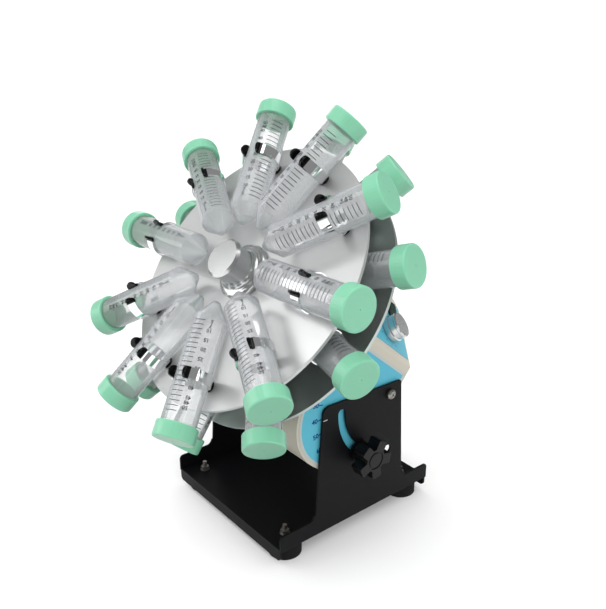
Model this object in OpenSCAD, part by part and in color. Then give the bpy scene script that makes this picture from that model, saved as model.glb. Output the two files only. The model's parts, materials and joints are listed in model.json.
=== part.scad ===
// Tube rotator: ten plus ten 50 ml tubes on two discs, turned slowly by a tilting drive head.
// Millimetres, +Z up, +X the control side, front (disc side) faces -Y, feet stand on z = 0.

/* [Stand] */
// Outer width over both side plates
stand_w = 166; // [120:1:240]
// Depth of the base
base_d = 182; // [140:1:260]
// Sheet thickness of the stand
sheet = 2; // [1:0.5:4]
// Underside of the base sheet above the bench
base_z = 15.5; // [8:0.5:30]
// Lower edge of the turned-down front and rear flanges
flange_z = 5.6; // [3:0.1:12]
// How far the flanges stay inside the side plates' outer faces
flange_in = 1.5; // [0.5:0.5:5]
// Top of the low strip that runs the whole depth
strip_z = 31.5; // [22:0.5:50]
// Corner radius of the low strip
strip_r = 4; // [1:0.5:8]
// Front edge of the side plate at its foot
plate_front_foot = -53.2; // [-70:0.1:-30]
// Front edge of the side plate at its top
plate_front_top = -44.2; // [-70:0.1:-30]
// Rear edge of the side plate at its foot
plate_rear_foot = 56; // [30:0.5:80]
// Rear edge of the side plate at its top
plate_rear_top = 48.6; // [30:0.1:80]
// Height of the top edge at the front
plate_top_front = 140.2; // [100:0.1:200]
// Height of the top edge at the rear
plate_top_rear = 137.4; // [100:0.1:200]
// Radius of the front top corner
plate_front_r = 7; // [2:0.5:20]
// Radius of the rear top corner
plate_rear_r = 3; // [1:0.5:20]
// Fillet between the plate and its low strip
strip_fillet = 5; // [1:0.5:12]

/* [Feet] */
// Distance of the foot centres from the middle, across
foot_x = 65; // [40:1:78]
// Distance of the foot centres from the middle, front to back
foot_y = 72.7; // [50:0.1:84]
// Radius of a rubber foot
foot_r = 15; // [8:0.5:20]
// Radius of the foot screw
foot_screw_r = 2; // [1.5:0.5:4]
// Length of the foot screw above its nut
foot_screw_over = 5; // [0:0.5:10]

/* [Pivot and lock] */
// Pivot position, front to back
pivot_y = 34; // [0:0.5:60]
// Pivot height
pivot_z = 127.8; // [100:0.5:180]
// Tilt of the drive head above the horizontal
tilt = 40; // [12:1:90]
// Radius of the pivot shoulder
pivot_r = 3; // [2:0.5:6]
// Radius of the pivot screw head
pivot_head_r = 4.6; // [4:0.1:10]
// Radius from the pivot to the clamping slot
slot_at = 57.5; // [40:0.5:70]
// Width of the clamping slot
slot_w = 8; // [6.5:0.5:12]
// Radius of the clamping stud
stud_r = 3; // [2:0.5:4]
// Outer radius of the star knob
star_r = 18; // [12:0.5:25]
// Lobes of the star knob
star_lobes = 5; // [3:1:8]

/* [Drive head] */
// Half width of the housing
head_hw = 79; // [60:1:100]
// Rear face of the housing behind the pivot
head_rear = 13; // [5:1:20]
// Front face of the housing ahead of the pivot
head_front = 89; // [70:1:116]
// Underside of the housing below the pivot
head_low = 88.5; // [70:0.5:110]
// Height of the shoulder edge above the pivot
shoulder_u = 31; // [10:1:50]
// Top of the housing above the pivot
head_top = 87.5; // [60:0.5:110]
// Half width of the flat top
top_hw = 16; // [10:1:30]
// Half width where the shoulder meets the roof
roof_hw = 33; // [24:1:45]
// Radius of the nose at the front of the underside
nose_r = 51; // [20:1:70]
// Wall thickness of the housing
wall = 3; // [2:0.5:5]
// Corner radius of the housing profile
head_r = 3; // [1:0.5:8]
// Thickness of the printed films
film = 0.4; // [0.2:0.1:1]
// Margin of the side films inside the housing outline
film_in = 2.5; // [1:0.5:8]
// Top edge of the side films above the pivot
film_top = 23; // [5:1:26]

/* [Controls] */
// Distance of the speed knob ahead of the pivot
speed_n = 17.4; // [10:0.1:60]
// Distance of the speed knob up the shoulder
speed_s = 26; // [18:0.5:40]
// Radius of the speed knob
speed_r = 12.7; // [8:0.1:18]
// Height of the speed knob above the shoulder
speed_h = 14.3; // [10:0.1:25]
// Distance of the switch ahead of the pivot
switch_n = 5; // [4:0.5:70]
// Distance of the switch up the shoulder
switch_s = 55; // [48:0.5:56]
// Length of the switch bezel, up the shoulder
switch_l = 18; // [14:0.5:22]
// Width of the switch bezel
switch_w = 14; // [11:0.5:18]
// Angle through which the rocker tips
rocker_turn = 16; // [8:1:24]

/* [Rotor] */
// Height of the rotor axis above the pivot
axis_u = 25; // [0:1:40]
// Radius of both discs
disc_r = 123.2; // [90:0.1:160]
// Thickness of both discs
disc_t = 3; // [2:0.5:6]
// Front surface of the rear disc ahead of the pivot
rear_disc_n = 104.5; // [96:0.5:126]
// Front surface of the front disc ahead of the pivot
front_disc_n = 147; // [126:0.5:176]
// Radius of the spindle
spindle_r = 5; // [3:0.5:8]
// Radius of the spacer between the discs
spacer_r = 13; // [9:0.5:14]
// Radius of the hub knob flange
hub_flange_r = 25.4; // [18:0.1:35]
// Radius of the hub knob grip rim
hub_rim_r = 17.8; // [12:0.1:25]
// Height of the hub knob above the front disc
hub_h = 29; // [20:0.5:45]

/* [Tubes and clips] */
// Tubes on each disc
tubes = 10; // [4:1:12]
// Phase of the first front tube, degrees from +X
front_phase = 110; // [0:1:360]
// Phase of the first rear tube, degrees from +X
rear_phase = 95; // [0:1:360]
// Outer radius of a tube
tube_r = 14.5; // [8:0.1:16]
// Wall thickness of a tube
tube_wall = 1.3; // [0.8:0.1:2]
// Tube axis above its disc
tube_lift = 19.5; // [18:0.5:26]
// Tip of a tube from the rotor axis
tube_tip = 37; // [30:0.5:60]
// Length of the cone at the tip
cone_l = 15; // [8:0.5:20]
// Outer end of a cap from the rotor axis
cap_out = 154; // [120:0.5:180]
// Length of a cap
cap_l = 13; // [8:0.5:18]
// Outer radius of a cap
cap_r = 17.25; // [12:0.05:20]
// Middle of a clip from the rotor axis
clip_at = 102.5; // [80:0.5:120]
// Width of a clip band
clip_w = 9; // [5:0.5:14]
// Thickness of a clip band
clip_t = 1; // [0.5:0.1:2]
// Half angle of the clip opening
clip_open = 27; // [15:1:50]
// Length of a clip lip
lip_l = 5; // [4.5:0.1:10]
// Outward lean of a clip lip
lip_lean = 20; // [0:1:40]
// Wall of the dipped sleeve on a clip end
sleeve_t = 0.5; // [0.4:0.1:1.5]
// Angle that a sleeve covers behind the lip
sleeve_turn = 10; // [2:1:60]

/* [Hidden] */
$fn = 72;
// gap between faces of different moving bodies
run = 0.3;
// radial clearance of a shaft in its bore
fit = 0.05;
far = 300;
side_in = stand_w/2 - sheet;
flange_r = 4;
foot_head_z = 7;
foot_head_r = 6;
foot_head_h = 2;
foot_washer_r = 4.5;
foot_washer_t = 0.8;
foot_nut_r = 4;
foot_nut_h = 3.2;
foot_nut_z = base_z + sheet + foot_washer_t;
// housing section, seen from the front
profile = [
  [-head_hw, -head_low], [head_hw, -head_low], [head_hw, shoulder_u],
  [roof_hw, shoulder_u + head_hw - roof_hw], [top_hw, head_top], [-top_hw, head_top],
  [-roof_hw, shoulder_u + head_hw - roof_hw], [-head_hw, shoulder_u]
];
// inside the head
inner_hw = head_hw - wall;
inner_front = head_front - wall;
inner_low = head_low - wall;
boss_r = 4.5;
boss_l = 12;
cover_screw_r = 1.5;
cover_screw_x = inner_hw - boss_r + 0.5;
cover_screw_low = -inner_low + boss_r - 0.5;
cover_screw_high = 19;
screw_head_h = 2;
pivot_screw_r = 2.5;
pivot_head_h = 3.8;
bush_r = pivot_r + 1.5;
pivot_boss_r = 5.5;
pivot_boss_x = 66;
washer_t = 1.7;
washer_r = 11;
star_in = stand_w/2 + 2*run + washer_t;
star_face = 93.5;
star_out = 105.4;
stud_end = 101;
star_turn = 46;
star_hub = 10.5;
star_collar = 10;
lobe_root = 4.6;
lobe_tip = 5.2;
lobe_round = 2;
// controls on the shoulder
film_s = [7, 63];
film_n = [-10.5, 86.5];
pot_bush_r = 4.5;
pot_shaft_r = 3;
pot_body_r = 8.5;
pot_body_l = 12;
pot_shaft_top = speed_h - 2.5;
nut_h = 2;
nut_r = 7;
bezel_h = 2;
rocker_r = switch_l/2 - 1.6;
rocker_w = switch_w - 5;
rocker_drop = 2;
pin_r = 1;
// drive train
block_n = 66;
block_r = 22;
bearing_r = 13;
bearing_l = 7;
collar_r = 16;
collar_l = 2;
block_screw_at = 17.8;
coupling_n = 46.8;
coupling_l = 17;
coupling_r = 9;
gear_shaft_r = 3;
gearbox_n = 20;
gearbox_l = 22;
gearbox_r = 18.5;
gear_screw_at = 14;
gear_screw_r = 1.5;
motor_n = -8;
motor_r = 17;
plate_n = gearbox_n + gearbox_l;
plate_t = 2.5;
plate_rim = 7;
plate_bore_r = 7;
post_at = 25;
post_r = 4;
post_screw_r = 1.5;
board_u = -inner_low + 8;
board_t = 1.6;
board_x = 50;
board_n = [-6, 36];
standoff_x = 44;
standoff_n = [0, 30];
inlet_x = 48;
inlet_u = -55;
inlet_r = 5.5;
// rotor
hub_body_r = 16.4;
hub_fillet = 5;
hub_back = rear_disc_n - disc_t;
hub_plate_t = 4;
hub_collar_r = 11;
hub_collar_l = 5;
hub_screw_at = 18.5;
spindle_back = 58;
spindle_end = front_disc_n + 22;
knob_back = front_disc_n + run;
// tubes
tube_end = cap_out - 1.8;
tip_r = 3;
cap_top = 1.6;
cap_skirt = cap_out - cap_l;
clip_slack = 0.1;
clip_in = tube_r + clip_slack + sleeve_t;
clip_out = clip_in + clip_t;
seat_r = 5;
rivet_r = 1.5;
rivet_head_r = 2.4;
rivet_head_t = sleeve_t - clip_slack;
sleeve_rim = 0.3;

black = [0.06, 0.06, 0.07];
rubber = [0.09, 0.09, 0.09];
steel = [0.72, 0.73, 0.75];
beige = [0.78, 0.77, 0.73];
blue = [0.2, 0.6, 0.75];
green = [0.55, 0.83, 0.66];
clear = [0.85, 0.9, 0.92, 0.6];
zinc = [0.6, 0.6, 0.62];
boards = [0.1, 0.4, 0.2];

// Unit vector from a to b, and the same turned a quarter to the left
function unit(a, b) = (b - a)/norm(b - a);
function left(d) = [-d[1], d[0]];
// Corner i of a convex anticlockwise outline moved inwards by t
function corner(p, i, t) =
  let (c = len(p))
  let (a = left(unit(p[(i + c - 1)%c], p[i])))
  let (b = left(unit(p[i], p[(i + 1)%c])))
  p[i] + t*(a + b)/(1 + a*b);
function inset(p, t) = [for (i = [0:len(p) - 1]) corner(p, i, t)];

// Outline p with corner i rounded to radius r[i] by true arcs
module rounded(p, r) {
  c = len(p);
  cut = [for (i = [0:c - 1]) each [
    corner(p, i, r[i]) - r[i]*left(unit(p[(i + c - 1)%c], p[i])),
    corner(p, i, r[i]) - r[i]*left(unit(p[i], p[(i + 1)%c]))
  ]];
  polygon(cut);
  for (i = [0:c - 1]) {
    if (r[i] > 0) translate(corner(p, i, r[i])) circle(r = r[i]);
  }
}

// Cylinder along +X, starting at x
module along_x(x, r, l) {
  translate([x, 0, 0]) rotate([0, 90, 0]) cylinder(r = r, h = l);
}

module both_sides() {
  children();
  mirror([1, 0, 0]) children();
}

// The four foot positions
module feet() {
  for (x = [-foot_x, foot_x], y = [-foot_y, foot_y]) translate([x, y, 0]) children();
}

// Head frame: local -Y runs forward along the rotor axis, local Z up across it
module head() {
  translate([0, pivot_y, pivot_z]) rotate([-tilt, 0, 0]) children();
}

// Rotor frame: local Z runs forward from the pivot plane
module rotor() {
  head() translate([0, 0, axis_u]) rotate([90, 0, 0]) children();
}

// Frame on the right shoulder, n ahead of the pivot and s up the slope, local Z outwards
module shoulder(n, s) {
  head() translate([head_hw, 0, shoulder_u]) rotate([0, 45, 0]) translate([-s, -n, 0]) children();
}

// Stand
module plate_outline() {
  r = strip_fillet;
  rounded([
    [plate_front_foot, base_z], [plate_rear_foot, base_z],
    [plate_rear_top, plate_top_rear], [plate_front_top, plate_top_front]
  ], [0, 0, plate_rear_r, plate_front_r]);
  rounded([
    [-base_d/2, base_z], [base_d/2, base_z], [base_d/2, strip_z], [-base_d/2, strip_z]
  ], [0, 0, strip_r, strip_r]);
  difference() {
    translate([plate_front_foot - r, strip_z - 1]) square([plate_rear_foot - plate_front_foot + 2*r, r + 1]);
    for (y = [plate_front_foot - r, plate_rear_foot + r]) translate([y, strip_z + r]) circle(r = r);
  }
}

module side_plate() {
  difference() {
    translate([side_in, 0, 0]) rotate([90, 0, 90]) linear_extrude(sheet) plate_outline();
    translate([0, pivot_y, pivot_z]) along_x(side_in - 1, bush_r, sheet + 2);
  }
}
module right_side_plate() {
  color(black) difference() {
    side_plate();
    translate([side_in - 1, pivot_y, pivot_z]) rotate([90, 0, 90]) linear_extrude(sheet + 2) {
      intersection() {
        difference() {
          circle(r = slot_at + slot_w/2);
          circle(r = slot_at - slot_w/2);
        }
        translate([-far, -far]) square(far);
      }
      translate([-slot_at, 0]) circle(d = slot_w);
      translate([0, -slot_at]) circle(d = slot_w);
    }
  }
}

module left_side_plate() {
  color(black) mirror([1, 0, 0]) side_plate();
}

module base_plate() {
  flange_hw = stand_w/2 - flange_in;
  color(black) difference() {
    union() {
      translate([-side_in, -base_d/2, base_z]) cube([2*side_in, base_d, sheet]);
      for (y = [-base_d/2 + sheet, base_d/2]) {
        translate([0, y, 0]) rotate([90, 0, 0]) linear_extrude(sheet) rounded([
          [-flange_hw, flange_z], [flange_hw, flange_z], [flange_hw, base_z], [-flange_hw, base_z]
        ], [flange_r, flange_r, 0, 0]);
      }
    }
    feet() translate([0, 0, base_z - 1]) cylinder(r = foot_screw_r + 0.2, h = sheet + 2);
  }
}

// Solid foot with the head of its screw moulded in
module rubber_feet() {
  color(rubber) feet() difference() {
    rotate_extrude() polygon([
      [0, 0], [foot_r, 0], [foot_r, base_z - 4], [foot_r - 2, base_z], [0, base_z]
    ]);
    translate([0, 0, foot_head_z]) cylinder(r = foot_head_r + fit, h = foot_head_h + fit);
    translate([0, 0, foot_head_z]) cylinder(r = foot_screw_r + 0.1, h = base_z);
  }
}

module foot_screws() {
  color(steel) feet() translate([0, 0, foot_head_z]) {
    cylinder(r = foot_head_r, h = foot_head_h);
    cylinder(r = foot_screw_r, h = foot_nut_z + foot_nut_h + foot_screw_over - foot_head_z);
  }
}

module foot_washers() {
  color(steel) feet() translate([0, 0, base_z + sheet]) difference() {
    cylinder(r = foot_washer_r, h = foot_washer_t);
    translate([0, 0, -1]) cylinder(r = foot_screw_r + 0.1, h = 3);
  }
}

module foot_nuts() {
  color(zinc) feet() translate([0, 0, foot_nut_z]) difference() {
    cylinder(r = foot_nut_r, h = foot_nut_h, $fn = 6);
    translate([0, 0, -1]) cylinder(r = foot_screw_r + 0.02, h = 5);
  }
}

module pivot_bushes() {
  color(black) translate([0, pivot_y, pivot_z]) both_sides() difference() {
    union() {
      along_x(side_in - 1.2, bush_r + 2.5, 1.2);
      along_x(side_in - 0.1, bush_r, sheet + 0.1);
    }
    along_x(side_in - 3, pivot_r + fit, sheet + 5);
  }
}

// Drive head
// Body of the housing shrunk by t all round
module head_form(t) {
  depth = head_front + head_rear;
  intersection() {
    translate([0, head_rear, 0]) rotate([90, 0, 0]) linear_extrude(depth) {
      rounded(inset(profile, t), [for (i = [0:7]) i < 2 ? 0 : head_r]);
    }
    translate([-head_hw, 0, 0]) rotate([90, 0, 90]) linear_extrude(2*head_hw) rounded([
      [t - head_front, t - head_low], [far, t - head_low], [far, head_top + 1], [t - head_front, head_top + 1]
    ], [nose_r - t, 0, 0, 0]);
  }
}

// The four rear cover screw positions, local Z pointing forward
module cover_points() {
  for (x = [-cover_screw_x, cover_screw_x], z = [cover_screw_low, cover_screw_high]) {
    translate([x, head_rear, z]) rotate([90, 0, 0]) children();
  }
}

module block_screw_points() {
  for (a = [45:90:315]) rotate([0, 0, a]) translate([block_screw_at, 0, 0]) children();
}

module housing_shell() {
  color(beige) difference() {
    union() {
      head() difference() {
        head_form(0);
        head_form(wall);
      }
      head() intersection() {
        head_form(1);
        union() {
          cover_points() translate([0, 0, wall]) cylinder(r = boss_r, h = boss_l);
          both_sides() along_x(pivot_boss_x, pivot_boss_r, head_hw);
        }
      }
    }
    head() cover_points() cylinder(r = cover_screw_r + 0.02, h = boss_l + wall - 2);
    head() both_sides() along_x(pivot_boss_x - 1, pivot_screw_r + 0.02, far);
    head() translate([0, 0, -slot_at]) along_x(0, stud_r + 0.02, far);
    rotor() translate([0, 0, inner_front - 1]) cylinder(r = collar_r + 0.1, h = wall + 2);
    rotor() translate([0, 0, inner_front - 1]) block_screw_points() cylinder(r = 1.6, h = wall + 2);
    shoulder(speed_n, speed_s) translate([0, 0, -2*wall]) cylinder(r = pot_bush_r + 0.1, h = 4*wall);
    shoulder(switch_n, switch_s) switch_hole();
  }
}

module switch_hole() {
  cube([switch_l - 1.8, switch_w - 1.8, 6*wall], center = true);
}

module rear_cover() {
  color(beige) difference() {
    head() intersection() {
      head_form(wall + 0.1);
      translate([-far/2, head_rear - wall, -far/2]) cube([far, wall, far]);
    }
    head() cover_points() translate([0, 0, -1]) cylinder(r = cover_screw_r + 0.1, h = wall + 2);
    head() inlet_place() translate([0, 0, -2*wall]) cylinder(r = inlet_r + 0.1, h = 3*wall);
  }
}

module cover_screws() {
  color(steel) head() cover_points() {
    cylinder(r = cover_screw_r, h = boss_l);
    difference() {
      translate([0, 0, -screw_head_h]) cylinder(r = 3, h = screw_head_h);
      translate([-1.9, -0.35, -screw_head_h - 1]) cube([3.8, 0.7, 2]);
      translate([-0.35, -1.9, -screw_head_h - 1]) cube([0.7, 3.8, 2]);
    }
  }
}

module side_film() {
  head() translate([head_hw, 0, 0]) difference() {
    rotate([90, 0, 90]) linear_extrude(film) rounded([
      [film_in - head_front, film_in - head_low], [head_rear - film_in, film_in - head_low],
      [head_rear - film_in, film_top], [film_in - head_front, film_top]
    ], [nose_r - film_in, 1.5, 1.5, 1.5]);
    along_x(-1, pivot_r + 0.1, 3);
    translate([0, 0, -slot_at]) along_x(-1, stud_r + 0.1, 3);
  }
}

module right_side_label() {
  color(blue) side_film();
}

module left_side_label() {
  color(blue) mirror([1, 0, 0]) side_film();
}

module control_label() {
  color(blue) difference() {
    shoulder(0, 0) translate([-film_s[1], -film_n[1], 0]) {
      cube([film_s[1] - film_s[0], film_n[1] - film_n[0], film]);
    }
    shoulder(speed_n, speed_s) translate([0, 0, -1]) cylinder(r = pot_bush_r + 0.1, h = 3);
    shoulder(switch_n, switch_s) switch_hole();
  }
}

module pivot_screws() {
  head_x = stand_w/2 + run;
  color(steel) head() both_sides() difference() {
    union() {
      along_x(pivot_boss_x, pivot_screw_r, head_hw - pivot_boss_x);
      along_x(head_hw, pivot_r, head_x - head_hw);
      translate([head_x, 0, 0]) rotate([0, 90, 0]) rotate_extrude() polygon([
        [0, 0], [pivot_head_r, 0], [pivot_head_r, pivot_head_h - 1.4],
        [pivot_head_r - 1.4, pivot_head_h], [0, pivot_head_h]
      ]);
    }
    translate([head_x + pivot_head_h - 1.2, -2.6, -0.45]) cube([2, 5.2, 0.9]);
    translate([head_x + pivot_head_h - 1.2, -0.45, -2.6]) cube([2, 0.9, 5.2]);
  }
}

module lock_stud() {
  color(steel) head() translate([0, 0, -slot_at]) {
    along_x(inner_hw - 3, stud_r + 2.5, 3);
    along_x(inner_hw - 0.1, stud_r, stud_end - inner_hw + 0.1);
  }
}

module lock_washer() {
  color(black) head() translate([0, 0, -slot_at]) difference() {
    along_x(stand_w/2 + run, washer_r, washer_t);
    along_x(stand_w/2, stud_r + fit, 5);
  }
}

// One lobe of the star knob, pointing along local X
module lobe() {
  rounded([
    [0, -lobe_root], [star_r, -lobe_tip], [star_r, lobe_tip], [0, lobe_root]
  ], [0, lobe_round, lobe_round, 0]);
}

module lock_knob() {
  rim = 1.5;
  color(black) head() translate([0, 0, -slot_at]) difference() {
    union() {
      along_x(star_in, star_collar, star_face - star_in + 1);
      translate([star_face, 0, 0]) rotate([0, 90, 0]) linear_extrude(star_out - star_face) {
        circle(r = star_hub);
        for (i = [0:star_lobes - 1]) rotate(i*360/star_lobes + star_turn) lobe();
      }
    }
    along_x(star_in - 1, stud_r + fit, stud_end - star_in + 2);
    translate([star_out - 0.8, 0, 0]) rotate([0, 90, 0]) difference() {
      cylinder(r = star_hub - 2, h = 2);
      translate([0, 0, -1]) cylinder(r = star_hub - 2 - rim, h = 4);
    }
  }
}

// Controls
module potentiometer() {
  color(zinc) shoulder(speed_n, speed_s) difference() {
    union() {
      translate([0, 0, -wall - pot_body_l]) cylinder(r = pot_body_r, h = pot_body_l);
      translate([0, 0, -wall - 0.1]) cylinder(r = pot_bush_r, h = wall + film + nut_h + 0.4);
    }
    translate([0, 0, -wall - 8]) cylinder(r = pot_shaft_r + fit, h = far);
  }
}

module pot_nut() {
  color(steel) shoulder(speed_n, speed_s) translate([0, 0, film]) difference() {
    cylinder(r = nut_r, h = nut_h, $fn = 6);
    translate([0, 0, -1]) cylinder(r = pot_bush_r + 0.02, h = nut_h + 2);
  }
}

module pot_shaft() {
  color(steel) shoulder(speed_n, speed_s) translate([0, 0, -wall - 7.7]) {
    cylinder(r = pot_shaft_r, h = pot_shaft_top + wall + 7.7);
  }
}

module speed_knob() {
  low = film + run;
  color(steel) shoulder(speed_n, speed_s) difference() {
    rotate_extrude() polygon([
      [0, low], [speed_r - 1.2, low], [speed_r - 1.2, low + 1.2], [speed_r, low + 1.6], [speed_r, low + 5.2],
      [speed_r - 1, low + 6], [speed_r - 1, speed_h - 3], [speed_r - 0.5, speed_h - 2.4],
      [speed_r - 0.5, speed_h - 0.8], [speed_r - 1.3, speed_h], [0, speed_h]
    ]);
    translate([0, 0, low - 1]) cylinder(r = nut_r + 0.6, h = nut_h + 1.8);
    translate([0, 0, low]) cylinder(r = pot_shaft_r + 0.02, h = pot_shaft_top - low + 0.1);
    translate([speed_r - 4.5, -0.5, speed_h - 0.4]) cube([6, 1, 2]);
  }
}

// Cavity of the switch, with 0.3 mm round the rocker
module switch_body() {
  cavity = [2*(rocker_r + run), rocker_w + 2*run];
  color(black) shoulder(switch_n, switch_s) difference() {
    union() {
      translate([-switch_l/2, -switch_w/2, film]) cube([switch_l, switch_w, bezel_h]);
      translate([-switch_l/2 + 1, -switch_w/2 + 1, -14]) cube([switch_l - 2, switch_w - 2, 14 + film + 0.1]);
    }
    translate([-cavity[0]/2, -cavity[1]/2, -rocker_drop - rocker_r - run]) cube([cavity[0], cavity[1], far]);
    translate([0, 0, -rocker_drop]) rotate([90, 0, 0]) cylinder(r = pin_r + fit, h = switch_w - 2.2, center = true);
  }
}

module switch_rocker() {
  rise = rocker_r*tan(rocker_turn/2);
  crown = film + bezel_h + 0.2;
  color([0.05, 0.2, 0.12]) shoulder(switch_n, switch_s) translate([0, 0, -rocker_drop]) {
    rotate([90, 0, 0]) cylinder(r = pin_r, h = switch_w - 2.6, center = true);
    rotate([90, 0, 0]) linear_extrude(rocker_w, center = true) rotate(-rocker_turn/2) intersection() {
      circle(r = rocker_r);
      polygon([
        [-far, -3], [far, -3], [far, crown + rocker_drop + rise*far/rocker_r],
        [0, crown + rocker_drop], [-far, crown + rocker_drop + rise*far/rocker_r]
      ]);
    }
  }
}

module inlet_place() {
  translate([inlet_x, head_rear, inlet_u]) rotate([-90, 0, 0]) children();
}

module dc_inlet() {
  color(black) head() inlet_place() difference() {
    union() {
      cylinder(r = 7.5, h = 1.6);
      translate([0, 0, -14]) cylinder(r = inlet_r, h = 14.1);
    }
    translate([0, 0, -9]) cylinder(r = 2.75, h = 20);
  }
  color(steel) head() inlet_place() translate([0, 0, -9.1]) cylinder(r = 1, h = 9);
}

// Inside the head
module standoff_points() {
  for (x = [-standoff_x, standoff_x], n = standoff_n) translate([x, -n, 0]) children();
}

module board_standoffs() {
  color(zinc) head() standoff_points() translate([0, 0, -inner_low]) difference() {
    cylinder(r = 3.5, h = board_u + inner_low);
    translate([0, 0, 2]) cylinder(r = 1.52, h = 20);
  }
}

module circuit_board() {
  color(boards) head() difference() {
    translate([-board_x, -board_n[1], board_u]) cube([2*board_x, board_n[1] - board_n[0], board_t]);
    standoff_points() translate([0, 0, board_u - 1]) cylinder(r = 1.6, h = 4);
  }
}

module board_screws() {
  color(steel) head() standoff_points() translate([0, 0, board_u]) {
    translate([0, 0, -5]) cylinder(r = 1.5, h = board_t + 5);
    translate([0, 0, board_t]) cylinder(r = 2.8, h = 1.8);
  }
}

module board_parts() {
  color(black) head() translate([0, -board_n[1], board_u + board_t]) {
    translate([-36, 8, 0]) cube([24, 22, 14]);
    translate([-4, 10, 0]) cube([12, 18, 3]);
    for (x = [18, 30]) translate([x, 14, 0]) cylinder(r = 4.5, h = 16);
    translate([14, 27, 0]) cube([22, 6, 9]);
  }
}

module motor() {
  color(zinc) rotor() {
    translate([0, 0, motor_n]) cylinder(r = motor_r, h = gearbox_n - motor_n);
    translate([0, 0, motor_n - 1.5]) cylinder(r = 6, h = 2);
  }
}

module gearbox() {
  color(zinc) rotor() difference() {
    translate([0, 0, gearbox_n]) cylinder(r = gearbox_r, h = gearbox_l);
    translate([0, 0, gearbox_n + 4]) cylinder(r = gear_shaft_r + fit, h = far);
    block_turn() translate([0, 0, plate_n - 5]) cylinder(r = gear_screw_r, h = 6);
  }
}

module block_turn() {
  for (a = [0:90:270]) rotate([0, 0, a]) translate([gear_screw_at, 0, 0]) children();
}

module post_points() {
  for (x = [-post_at, post_at], y = [-post_at, post_at]) translate([x, y, 0]) children();
}

module motor_plate() {
  hw = post_at + plate_rim;
  color(steel) rotor() difference() {
    translate([-hw, -hw, plate_n]) cube([2*hw, 2*hw, plate_t]);
    translate([0, 0, plate_n - 1]) cylinder(r = plate_bore_r, h = plate_t + 2);
    post_points() translate([0, 0, plate_n - 1]) cylinder(r = post_screw_r + 0.1, h = plate_t + 2);
    block_turn() translate([0, 0, plate_n - 1]) cylinder(r = gear_screw_r + 0.1, h = plate_t + 2);
  }
}

module motor_posts() {
  color(steel) rotor() post_points() difference() {
    translate([0, 0, plate_n + plate_t]) cylinder(r = post_r, h = inner_front - plate_n - plate_t);
    translate([0, 0, plate_n]) cylinder(r = post_screw_r + 0.02, h = 14);
  }
}

module motor_screws() {
  color(zinc) rotor() {
    post_points() {
      translate([0, 0, plate_n]) cylinder(r = post_screw_r, h = 10);
      translate([0, 0, plate_n - 2]) cylinder(r = 2.8, h = 2);
    }
    block_turn() {
      translate([0, 0, plate_n - 4]) cylinder(r = gear_screw_r - fit, h = 4 + plate_t);
      translate([0, 0, plate_n + plate_t]) cylinder(r = 2.4, h = 1.4);
    }
  }
}

module bearing_block() {
  color(steel) rotor() difference() {
    union() {
      translate([0, 0, block_n]) cylinder(r = block_r, h = inner_front - block_n);
      translate([0, 0, inner_front - 0.1]) cylinder(r = collar_r, h = wall + collar_l + 0.1);
    }
    cylinder(r = spindle_r + 2, h = far);
    translate([0, 0, block_n - 1]) cylinder(r = bearing_r, h = bearing_l + 1);
    translate([0, 0, head_front + collar_l - bearing_l]) cylinder(r = bearing_r, h = bearing_l + 1);
    block_screw_points() translate([0, 0, inner_front - 8]) cylinder(r = 1.5, h = 9);
  }
}

module bearing_screws() {
  color(steel) rotor() block_screw_points() {
    translate([0, 0, inner_front - 7]) cylinder(r = 1.45, h = 7 + wall);
    translate([0, 0, head_front]) cylinder(r = 1.7, h = 1.6);
  }
}

module ball_bearing() {
  difference() {
    cylinder(r = bearing_r, h = bearing_l);
    translate([0, 0, -1]) cylinder(r = spindle_r + fit, h = bearing_l + 2);
    for (z = [-1, bearing_l - 0.4]) translate([0, 0, z]) difference() {
      cylinder(r = bearing_r - 1.8, h = 1.4);
      translate([0, 0, -1]) cylinder(r = spindle_r + 1.7, h = 4);
    }
  }
}

module front_bearing() {
  color(zinc) rotor() translate([0, 0, head_front + collar_l - bearing_l]) ball_bearing();
}

module rear_bearing() {
  color(zinc) rotor() translate([0, 0, block_n]) ball_bearing();
}

// Rotor
module gearbox_shaft() {
  color(steel) rotor() translate([0, 0, gearbox_n + 4.3]) cylinder(r = gear_shaft_r, h = 32);
}

module coupling() {
  color(zinc) rotor() difference() {
    translate([0, 0, coupling_n]) cylinder(r = coupling_r, h = coupling_l);
    translate([0, 0, coupling_n - 1]) cylinder(r = gear_shaft_r + 0.02, h = coupling_l + 2);
    translate([0, 0, spindle_back - 0.2]) cylinder(r = spindle_r + 0.02, h = coupling_l);
  }
}

module spindle() {
  color(steel) rotor() translate([0, 0, spindle_back]) cylinder(r = spindle_r, h = spindle_end - spindle_back);
}

module hub_screw_points() {
  for (a = [0:90:270]) rotate([0, 0, a]) translate([hub_screw_at, 0, 0]) children();
}

module rear_hub() {
  color(zinc) rotor() difference() {
    union() {
      translate([0, 0, hub_back - hub_plate_t]) cylinder(r = hub_flange_r, h = hub_plate_t);
      translate([0, 0, hub_back - hub_plate_t - hub_collar_l]) cylinder(r = hub_collar_r, h = hub_collar_l + 0.1);
    }
    translate([0, 0, hub_back - 20]) cylinder(r = spindle_r + 0.02, h = 40);
    translate([0, 0, hub_back - hub_plate_t - 1]) hub_screw_points() cylinder(r = 2, h = 10);
  }
}

module hub_screws() {
  color(steel) rotor() hub_screw_points() {
    translate([0, 0, hub_back - hub_plate_t + 0.5]) cylinder(r = 1.95, h = hub_plate_t + disc_t - 0.5);
    translate([0, 0, rear_disc_n]) difference() {
      cylinder(r = 3.5, h = 2.2);
      translate([0, 0, 1]) cylinder(r = 1.7, h = 2, $fn = 6);
    }
  }
}

module disc_spacer() {
  color(steel) rotor() translate([0, 0, rear_disc_n]) difference() {
    cylinder(r = spacer_r, h = front_disc_n - disc_t - rear_disc_n);
    translate([0, 0, -1]) cylinder(r = spindle_r + 0.02, h = far);
  }
}

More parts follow.
